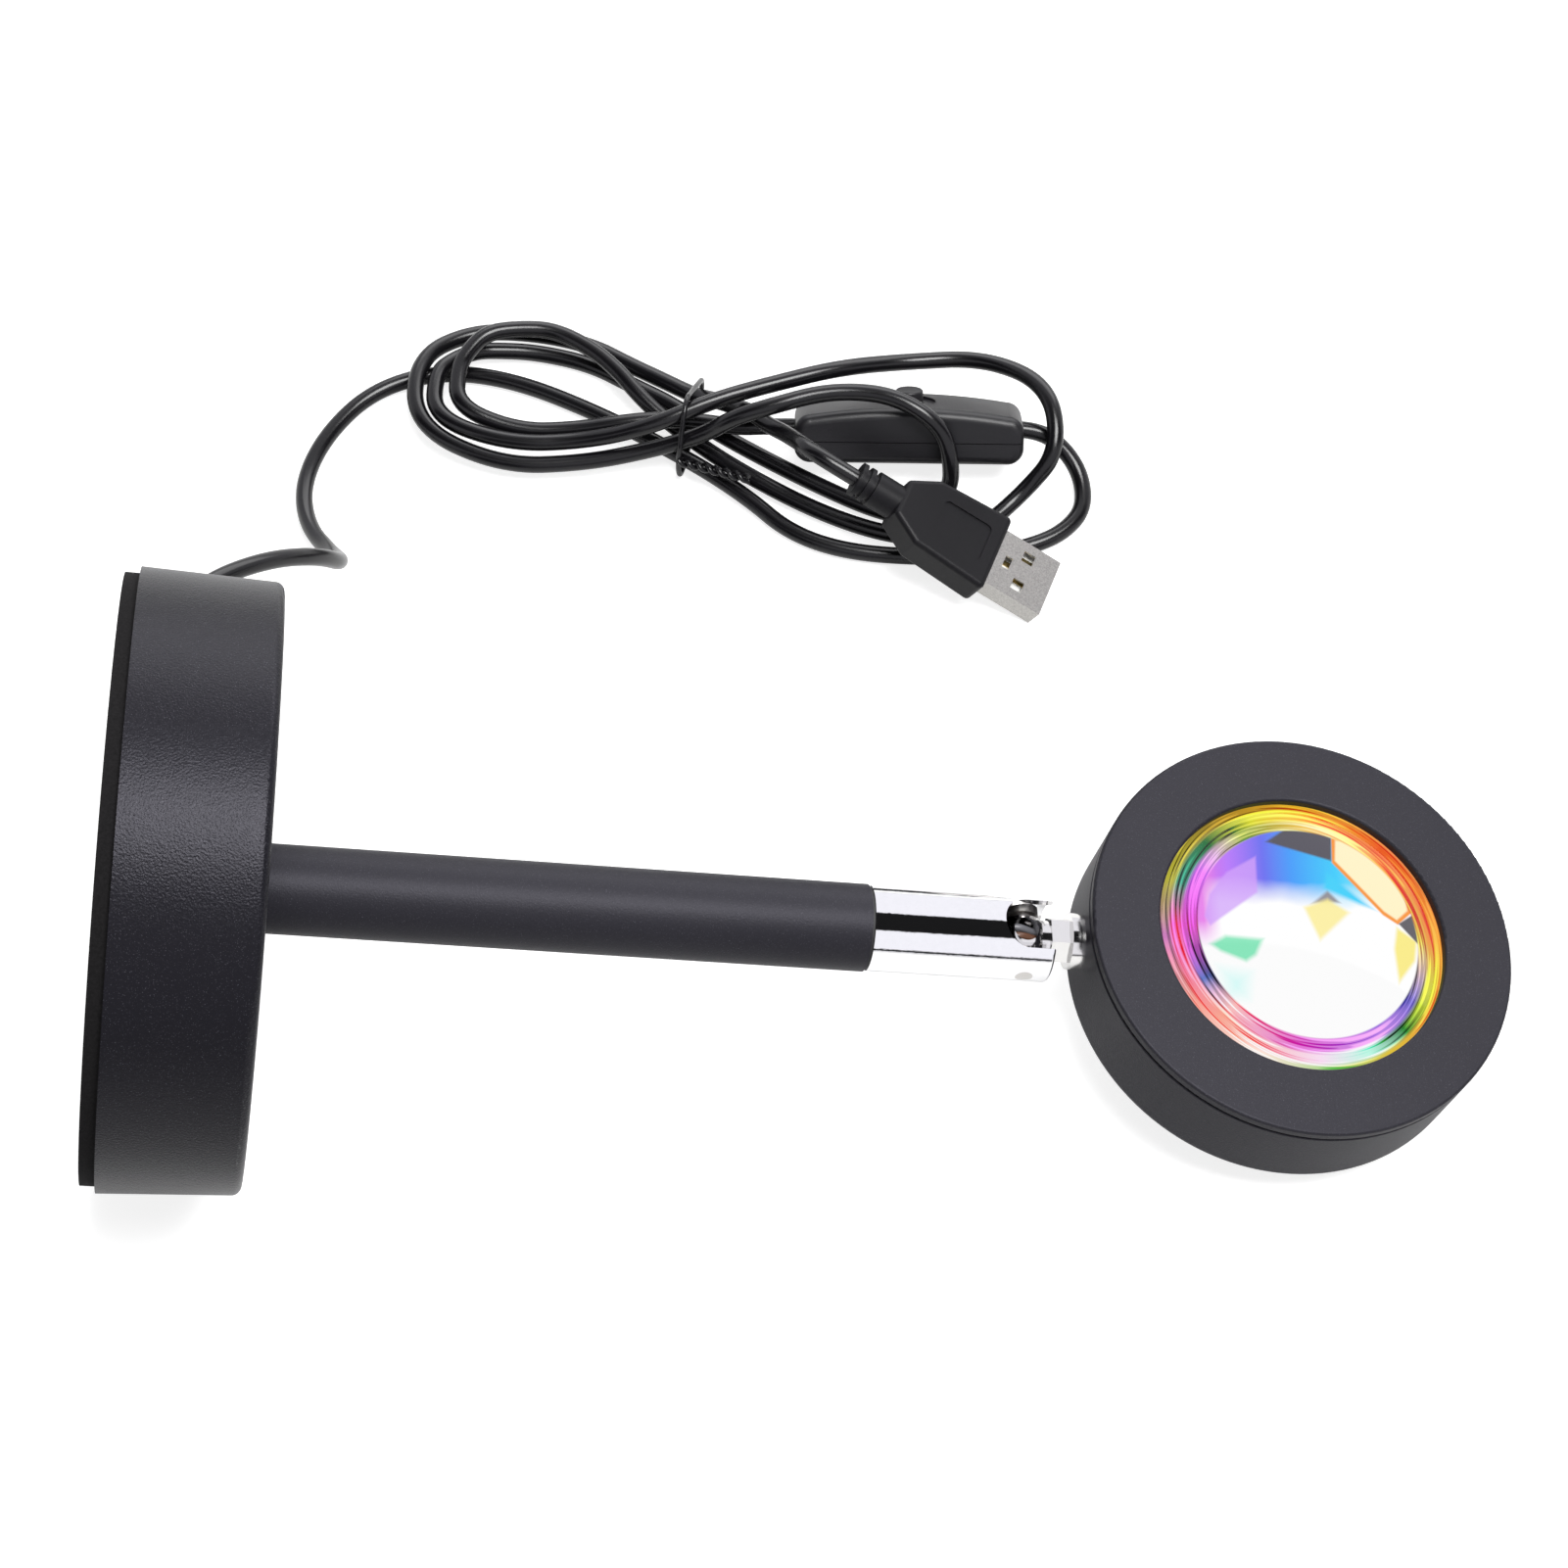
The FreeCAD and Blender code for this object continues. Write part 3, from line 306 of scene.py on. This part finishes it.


# Colours of the painted reflections round the rings of the film: degrees from the way up the post
# towards the way along the pins, and display colour
INNER_RING = [
    (0, (225, 190, 70)), (45, (250, 150, 60)), (85, (250, 225, 150)), (120, (190, 205, 90)),
    (150, (195, 100, 232)), (180, (215, 70, 190)), (207, (70, 90, 150)), (225, (250, 190, 190)),
    (260, (230, 120, 215)), (300, (195, 135, 235)), (325, (120, 110, 205)), (360, (225, 190, 70))]
MIDDLE_RING = [
    (0, (240, 150, 60)), (50, (240, 95, 40)), (85, (255, 205, 70)), (112, (235, 235, 60)),
    (136, (25, 110, 50)), (160, (55, 150, 125)), (180, (240, 85, 180)), (225, (250, 165, 145)),
    (270, (250, 225, 245)), (292, (190, 250, 230)), (312, (40, 125, 50)), (335, (205, 210, 60)),
    (360, (240, 150, 60))]
OUTER_RING = [
    (0, (215, 125, 45)), (45, (235, 115, 65)), (90, (225, 165, 35)), (130, (150, 125, 45)),
    (160, (185, 180, 60)), (185, (150, 85, 140)), (215, (250, 165, 150)), (245, (255, 232, 220)),
    (275, (170, 220, 140)), (300, (225, 195, 60)), (330, (240, 155, 60)), (360, (215, 125, 45))]
# Where one ring gives way to the next, in widths of the three rings together
INNER_RING_END = 2.9 / 9
MIDDLE_RING_END = 6.0 / 9
RING_BLEND = 1 / 9
# How far the rings and the lines wander from true circles, in the same measure
RING_DRIFT = 0.12
LINE_SWAY = 0.10
LINES_ACROSS = 10.0
LINE_STRENGTH = 0.95


def ring_reflections(g, angle, across):
    """Painted reflections in rings between the middle and the bezel, with fine bright and dark lines
    along them.
    """
    turn = g.math("FRACT", g.math("MULTIPLY_ADD", angle, 1 / (2 * math.pi), 1.0))
    drift = g.math("MULTIPLY_ADD", g.math("SINE", g.math("ADD", angle, 0.9)), RING_DRIFT, across)
    colour = colour_wheel(g, turn, INNER_RING)
    for edge, ring in ((INNER_RING_END, MIDDLE_RING), (MIDDLE_RING_END, OUTER_RING)):
        colour = g.mix(g.fade(drift, edge, RING_BLEND), colour, colour_wheel(g, turn, ring))
    sway = g.math("SINE", g.math("MULTIPLY_ADD", angle, 2.0, 0.4))
    lane = g.math("MULTIPLY", g.math("MULTIPLY_ADD", sway, LINE_SWAY, drift), LINES_ACROSS)
    place = g.add("CombineXYZ", X=lane, Y=g.math("COSINE", angle), Z=g.math("SINE", angle)).outputs[0]
    lines = g.ramp(g.noise(1.3, detail=1.5, vector=place), [
        (at, (grey, grey, grey)) for at, grey in (
            (0.34, 0.0), (0.40, 0.20), (0.44, 0.50), (0.55, 0.50), (0.59, 0.92), (0.65, 1.0))])
    return g.mix(LINE_STRENGTH, colour, lines, "OVERLAY")


def distance(g, x, y):
    return g.math("SQRT", g.math("MULTIPLY_ADD", x, x, g.math("MULTIPLY", y, y)))


def lens_reflection_colour(g, right, up):
    """Painted reflections on the film at a place on it: the middle, and the rings round it."""
    x = g.math("SUBTRACT", right, FILM_CENTRE[0])
    y = g.math("SUBTRACT", up, FILM_CENTRE[1])
    angle = g.math("ARCTAN2", y, x)
    across = g.math("MULTIPLY_ADD", distance(g, x, y), 1 / FILM_RINGS_WIDTH,
                    -FILM_MIDDLE_RADIUS / FILM_RINGS_WIDTH)
    return g.mix(g.fade(across, 0.0, 0.05), middle_reflections(g, right, up), ring_reflections(g, angle, across))


def glowing_lens_reflections():
    """Clear dome over a glowing film of painted reflections on the lens's flat back and its flange.

    The film glows though the lens is no lamp: its colours are painted reflections and highlights of the
    studio in the dichroic filter. The dome hardly bends the light, so that they show where they are
    painted.
    """
    g = new_material("glowing_lens_reflections")
    right, up, out = lens_axes(g)
    # painted glow: the film gives off its painted reflections as light of its own
    reflection_glow = g.add("Emission", Color=lens_reflection_colour(g, right, up), Strength=1.0)
    dome = g.add("BsdfPrincipled", Base_Color=(1.0, 1.0, 1.0, 1.0), Roughness=0.0, IOR=1.02,
                 Transmission_Weight=1.0, Coat_Weight=0.7, Coat_Roughness=0.02)
    painted = g.math("MAXIMUM", g.math("LESS_THAN", out, LENS_BACK + 0.05),
                     g.math("GREATER_THAN", distance(g, right, up), DOME_RADIUS))
    return g.output(g.add("MixShader", Fac=painted, i1=dome.outputs[0], i2=reflection_glow.outputs[0]))


def holder_plastic():
    """Dark plastic; the rim that the lens lies on glows with the film's painted reflections through the
    flange.
    """
    g = new_material("holder_plastic")
    right, up, out = lens_axes(g)
    tone = g.mix(g.noise(3000.0, detail=2.0), (0.008, 0.008, 0.009), (0.02, 0.02, 0.022))
    # painted glow: the rim gives off the film's painted reflections as light of its own
    glowing_rim = g.math("GREATER_THAN", out, LENS_BACK - 0.05)
    return g.finish(Base_Color=tone, Roughness=0.6, Emission_Color=lens_reflection_colour(g, right, up),
                    Emission_Strength=glowing_rim)


base_coat = powder_coat("base_coat", (0.0042, 0.0040, 0.0056), grain=0.30, depth=0.075, rough=0.27,
                        glint_threshold=0.75, shine=0.17)
head_coat = powder_coat("head_coat", (0.0105, 0.0101, 0.0130), grain=0.26, depth=0.035, rough=0.44,
                        glint_threshold=0.77, shine=0.22)
chrome = bright_metal("chrome", (0.90, 0.90, 0.91), rough=0.02, marks=900.0, depth=0.045)
nickel = bright_metal("nickel", (0.78, 0.77, 0.76), rough=0.10, marks=700.0, depth=0.02)
steel = bright_metal("steel", (0.60, 0.58, 0.56), rough=0.26, marks=1200.0, depth=0.01)
shell_steel = bright_metal("shell_steel", (0.66, 0.64, 0.61), rough=0.27, marks=3200.0, depth=0.04,
                           mottle=0.75)
zinc = bright_metal("zinc", (0.55, 0.56, 0.57), rough=0.35, marks=900.0, depth=0.01)
brass = bright_metal("brass", (0.75, 0.55, 0.22), rough=0.25, marks=900.0, depth=0.01)
gilt = bright_metal("gilt", (0.85, 0.66, 0.28), rough=0.2, marks=900.0, depth=0.005)
iron = powder_coat("iron", (0.012, 0.012, 0.012), grain=0.8, depth=0.1, rough=0.6, glint_threshold=0.9)
cord_pvc = satin("cord_pvc", (0.0032, 0.0030, 0.0038), rough=0.19, grain=0.3, depth=0.006, shine=0.36)
switch_plastic = satin("switch_plastic", (0.0060, 0.0057, 0.0070), rough=0.33, grain=0.22, depth=0.035,
                       shine=0.33)
plug_plastic = satin("plug_plastic", (0.0048, 0.0045, 0.0057), rough=0.38, grain=0.22, depth=0.03,
                     shine=0.16)
dark_plastic = satin("dark_plastic", (0.012, 0.012, 0.013), rough=0.6)
copper_wire = satin("copper_wire", (0.085, 0.035, 0.018), rough=0.3)
grey_wire = satin("grey_wire", (0.09, 0.09, 0.10), rough=0.3)
tongue_white = satin("tongue_white", (0.7, 0.7, 0.68), rough=0.5)
board_white = satin("board_white", (0.75, 0.75, 0.74), rough=0.5)
chip_yellow = satin("chip_yellow", (0.9, 0.7, 0.12), rough=0.5)
aluminium = bright_metal("aluminium", (0.75, 0.76, 0.77), rough=0.3, marks=700.0, depth=0.01)
inner_glass = clear_glass("inner_glass", ior=1.45)
filter_coating = satin("filter_coating", (0.30, 0.16, 0.55), rough=0.1)

node_materials = {
    "foot_pad": foam(), "bottom_plate": zinc, "base_cover": base_coat, "base_weight": iron,
    "base_washer": steel, "base_nut": steel, "cord_grommet": cord_pvc, "cord_in_base": cord_pvc,
    "post_rod": steel, "post_bush": dark_plastic, "post_tube": head_coat, "post_cap": head_coat,
    "post_wires": copper_wire, "pan_washer": dark_plastic, "pan_spring": steel, "pan_nut": steel,
    "joint_barrel": chrome, "tilt_pins": steel, "tilt_washers": steel, "joint_wires": copper_wire,
    "neck_knuckle": nickel, "neck_nut": nickel, "head_locknut": steel, "head_shell": head_coat,
    "front_bezel": head_coat, "front_lens": glowing_lens_reflections(), "lens_holder": holder_plastic(),
    "colour_filter": filter_coating, "heat_plate": aluminium, "led_board": board_white,
    "led_chip": chip_yellow, "condenser_lens": inner_glass, "board_screws": steel,
    "head_wires": copper_wire, "cord_tie": cord_pvc, "switch_cover": switch_plastic,
    "switch_base": switch_plastic, "switch_button": switch_plastic, "switch_contacts": brass,
    "usb_grip": plug_plastic, "usb_shell": shell_steel, "usb_tongue": tongue_white,
    "usb_contacts": gilt,
}


def dress(obj, material):
    obj.data.materials.clear()
    obj.data.materials.append(material)


def node(name):
    return bpy.data.objects[name]


for name, material in node_materials.items():
    dress(node(name), material)


# ---------------------------------------------------------------- cords

# The lead from the base to the switch: points of its curve in millimetres
LEAD = [
    (-103.6, 51.1, 44.98), (-103.7, 56.6, 44.32), (-98.3, 62.8, 42.5), (-90.3, 70.0, 36.5),
    (-83.6, 76.0, 27.5), (-81.0, 81.5, 16.5), (-84.3, 88.5, 8.2), (-90.0, 98.0, 3.2),
    (-91.7, 108.5, 1.65), (-87.8, 119.6, 1.65), (-79.2, 129.8, 1.65), (-66.3, 134.1, 1.65),
    (-51.8, 131.6, 1.65), (-35.3, 123.2, 1.9), (-18.3, 111.6, 3.1), (-7.5, 103.7, 2.0),
    (0.2, 95.9, 1.65), (10.7, 91.4, 1.65), (24.7, 89.9, 1.65), (37.7, 90.1, 1.65), (47.2, 92.6, 1.65),
    (52.5, 95.8, 1.65), (55.8, 100.4, 1.8), (55.6, 106.6, 2.9), (52.6, 111.3, 5.2), (47.7, 114.0, 7.8),
    (43.0, 114.2, 7.8),
]

# The hank from the switch to the plug: a place in millimetres, and there its bearing in the table
# plane and its rise in degrees
HANK = [
    (-1.63, 115.71, 7.80, 178.0, 0.0),
    # into the waist, under the later strands
    (-11.3, 116.9, 6.7, 167, -3), (-25.8, 118.2, 6.9, 184, 0),
    # first left loop
    (-44.5, 117.5, 5.1, 180, -1), (-62.4, 128.2, 7.3, 90, 2), (-58.8, 136.2, 7.9, 48, 3),
    (-48.6, 139.4, 7.5, 0, -4), (-33.4, 131.9, 6.1, -44, -7), (-27.0, 124.4, 4.8, -47, -11),
    (-18.3, 116.7, 3.0, -41, 0),
    # outer right loop, over the lead
    (16.7, 95.8, 1.8, -20, 0), (40.7, 99.8, 2.4, 42, 5), (50.4, 112.4, 11.4, 95, 14),
    (30.5, 130.3, 8.0, 180, -3), (3.5, 123.3, 13.2, 198, 4), (-19.1, 115.5, 13.2, 201, -8),
    # second left loop
    (-44.5, 113.8, 6.5, 180, -2), (-66.8, 128.0, 5.8, 90, -2), (-60.8, 136.0, 4.3, 32, -14),
    (-53.3, 137.9, 2.5, 0, -6), (-32.8, 132.1, 1.8, -34, 2), (-18.4, 121.9, 3.0, -38, 0),
    # inner right loop, over the switch
    (14.5, 101.5, 1.8, -28, 0), (28.6, 100.4, 4.4, 40, 34), (29.8, 106.8, 13.4, 112, 48),
    (22.8, 112.4, 18.8, 151, 8), (10.7, 115.6, 18.8, 180, -2), (-6.4, 112.8, 16.9, 188, -16),
    (-18.3, 112.4, 9.0, 182, -24),
    # third left loop
    (-44.8, 110.4, 4.2, 180, -2), (-70.6, 128.2, 5.3, 90, 0), (-53.8, 142.3, 2.6, 0, -4),
    (-32.8, 136.6, 1.8, -34, 2),
    # out of the waist and up to the plug
    (-20.0, 127.9, 3.2, -36, 8), (-10.7, 120.5, 8.3, -42, 26), (-6.5, 116.4, 11.3, -47, 16),
    (-2.9, 112.3, 12.8, -50, 28),
    (9.68, 97.00, 20.89, -22.7, -24.5),
]
# Its two ends, in the switch and in the plug's grip
HANK_START = (3.06, 115.55, 7.80)
HANK_END = (13.62, 95.35, 18.94)


def heading(bearing, rise):
    """Unit vector from two angles in degrees."""
    level = math.cos(math.radians(rise))
    return Vector((level * math.cos(math.radians(bearing)), level * math.sin(math.radians(bearing)),
                   math.sin(math.radians(rise))))


def bends(start, way_in, end, way_out):
    """The two points of the route between neighbouring places of the hank."""
    gap, ways = end - start, way_in + way_out
    along, spread = gap.dot(ways), 2 * (1 - way_in.dot(way_out))
    if spread < 1e-9:
        reach = gap.dot(gap) / (2 * along)
    else:
        reach = (math.sqrt(along * along + spread * gap.dot(gap)) - along) / spread
    return [start + way_in * reach, end - way_out * reach]


def hank_route():
    places = [(Vector((x, y, z)), heading(bearing, rise)) for x, y, z, bearing, rise in HANK]
    points = [Vector(HANK_START)]
    for (start, way_in), (end, way_out) in zip(places, places[1:]):
        points += bends(start, way_in, end, way_out)
    return points + [Vector(HANK_END)]


def spline_curve(name, points, diameter, material):
    """Round cord along a quadratic NURBS curve; the points are in millimetres."""
    curve = bpy.data.curves.new(name, "CURVE")
    curve.dimensions = "3D"
    curve.resolution_u = 12
    curve.bevel_depth = diameter / 2
    curve.bevel_resolution = 5
    curve.use_fill_caps = True
    spline = curve.splines.new("NURBS")
    spline.points.add(len(points) - 1)
    for point, place in zip(spline.points, points):
        point.co = (*(Vector(place) * MM), 1.0)
    spline.order_u = 3
    spline.use_endpoint_u = True
    curve.materials.append(material)
    obj = bpy.data.objects.new(name, curve)
    bpy.context.collection.objects.link(obj)
    return obj


lead = spline_curve("lead", LEAD, CORD, cord_pvc)
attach(lead, "root")
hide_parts("cord_lead")

hank = spline_curve("hank", hank_route(), CORD, cord_pvc)
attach(hank, "root")
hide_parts("cord_hank")


# ---------------------------------------------------------------- wires across the swivel joint

def joint_wire(name, side, material):
    """Short bent wire from inside the barrel, across the tilt axis and into the neck."""
    points = [lamp(side * 0.75, 0.0, 141.0), lamp(side * 0.8, 0.3, 144.5), lamp(side * 0.9, 1.6, 147.5),
              lamp(side * 0.8, 2.6, 149.8), lamp(side * 0.6, 1.8, 151.8), lamp(side * 0.6, 0.6, 154.0)]
    curve = spline_curve(name + "_line", [p / MM for p in points], JOINT_WIRE, material)
    mesh = bpy.data.meshes.new_from_object(curve)
    bpy.data.objects.remove(curve)
    wire = bpy.data.objects.new(name, mesh)
    bpy.context.collection.objects.link(wire)
    return wire


for side, name, material in ((-1, "joint_wire_brown", copper_wire), (1, "joint_wire_grey", grey_wire)):
    wire = joint_wire(name, side, material)
    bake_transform(wire)


# ---------------------------------------------------------------- floor, light, camera

FLOOR_SIZE = 6.0
FLOOR_TONES = (0.44, 0.47)
FLOOR_GLOW = 0.40  # for reflections; the camera sees twice as much, and so a white table
# What mirror-like pieces reflect, by the turn about the X axis from the back (0) over the top to the
# front (1): a white studio with a dark gap overhead and a dark strip low at the front
STUDIO = [(0.0, 1.05), (0.393, 1.05), (0.400, 0.012), (0.672, 0.012), (0.684, 1.05), (0.955, 1.05),
          (0.970, 0.03), (0.995, 0.03), (1.0, 1.0)]
STUDIO_TINT = (0.985, 0.98, 1.04)
SKY_ON_OBJECT = 0.3


def floor():
    """White table that keeps the object's shadow."""
    bpy.ops.mesh.primitive_plane_add(size=FLOOR_SIZE, location=(0, 0, 0))
    plane = bpy.context.object
    plane.name = "floor"
    g = new_material("floor_white")
    tone = g.mix(g.noise(40.0, detail=2.0), *((grey, grey, grey) for grey in FLOOR_TONES))
    path = g.add("LightPath")
    glow = g.add("Emission", Color=(1.0, 1.0, 1.0, 1.0), Strength=g.math(
        "MULTIPLY_ADD", path.outputs["Is Camera Ray"], FLOOR_GLOW, FLOOR_GLOW))
    seen = g.math("MAXIMUM", path.outputs["Is Camera Ray"],
                  g.math("MAXIMUM", path.outputs["Is Glossy Ray"], path.outputs["Is Transmission Ray"]))
    none = g.add("Emission", Color=(0.0, 0.0, 0.0, 1.0), Strength=0.0)
    pick = g.add("MixShader", Fac=seen, i1=none.outputs[0], i2=glow.outputs[0])
    lit = g.add("BsdfDiffuse", Color=tone)
    dress(plane, g.output(g.add("AddShader", i0=lit.outputs[0], i1=pick.outputs[0])))


def world():
    """White for the camera, the studio for reflections, and a dim even sky for all else."""
    bpy.context.scene.world = bpy.data.worlds.new("studio")
    g = Graph(bpy.context.scene.world)
    where = g.add("SeparateXYZ", Vector=g.add("TexCoord").outputs["Generated"])
    turn = g.math("DIVIDE", g.math("ARCTAN2", where.outputs["Z"], where.outputs["Y"]), math.pi)
    studio = g.ramp(turn, [(place, [value * tint for tint in STUDIO_TINT]) for place, value in STUDIO])
    path = g.add("LightPath")
    shown = g.add("Background", Color=(1.0, 1.0, 1.0, 1.0), Strength=1.0)
    mirror = g.add("Background", Color=studio, Strength=1.0)
    soft = g.add("Background", Color=(1.0, 1.0, 1.0, 1.0), Strength=SKY_ON_OBJECT)
    unseen = g.add("MixShader", Fac=path.outputs["Is Glossy Ray"], i1=soft.outputs[0],
                   i2=mirror.outputs[0])
    sky = g.add("MixShader", Fac=path.outputs["Is Camera Ray"], i1=unseen.outputs[0],
                i2=shown.outputs[0])
    g.output(sky, "OutputWorld")


LIGHT_TARGET = (-0.05, 0.0, 0.03)


def area_light(name, place, size, power):
    """Soft rectangular lamp aimed at the object."""
    data = bpy.data.lights.new(name, "AREA")
    data.shape = "RECTANGLE"
    data.size, data.size_y = size
    data.energy = power
    obj = bpy.data.objects.new(name, data)
    obj.location = place
    obj.rotation_mode = "QUATERNION"
    obj.rotation_quaternion = (Vector(LIGHT_TARGET) - Vector(place)).to_track_quat("-Z", "Y")
    bpy.context.collection.objects.link(obj)
    return obj


def spare(light, names):
    """Keeps the light off the pieces that mirror their surroundings."""
    spared = bpy.data.collections.new(light.name + "_spared")
    for name in names:
        spared.objects.link(node(name))
    light.light_linking.receiver_collection = spared
    for item in spared.collection_objects:
        item.light_linking.link_state = "EXCLUDE"


def camera():
    """The photograph's camera."""
    level = math.cos(CAMERA_ELEVATION)
    back = Vector((math.sin(CAMERA_YAW) * level, -math.cos(CAMERA_YAW) * level,
                   math.sin(CAMERA_ELEVATION)))
    right = Vector((math.cos(CAMERA_YAW), math.sin(CAMERA_YAW), 0.0))
    up = back.cross(right)
    data = bpy.data.cameras.new("camera")
    data.sensor_fit = "HORIZONTAL"
    data.sensor_width = SENSOR_WIDTH
    data.lens = CAMERA_LENS
    obj = bpy.data.objects.new("camera", data)
    obj.matrix_world = Matrix((*zip(right, up, back, CAMERA_PLACE), (0, 0, 0, 1)))
    bpy.context.collection.objects.link(obj)
    bpy.context.scene.camera = obj


floor()
world()
mirrors = ("joint_barrel", "neck_knuckle", "neck_nut", "tilt_pins", "front_lens")
spare(area_light("key", place=(0.27, -0.06, 1.08), size=(0.5, 0.62), power=19.0), mirrors)
spare(area_light("back", place=(0.22, 0.92, 0.55), size=(1.2, 0.6), power=7.0), mirrors)
camera()
bpy.context.scene.view_settings.view_transform = "Standard"
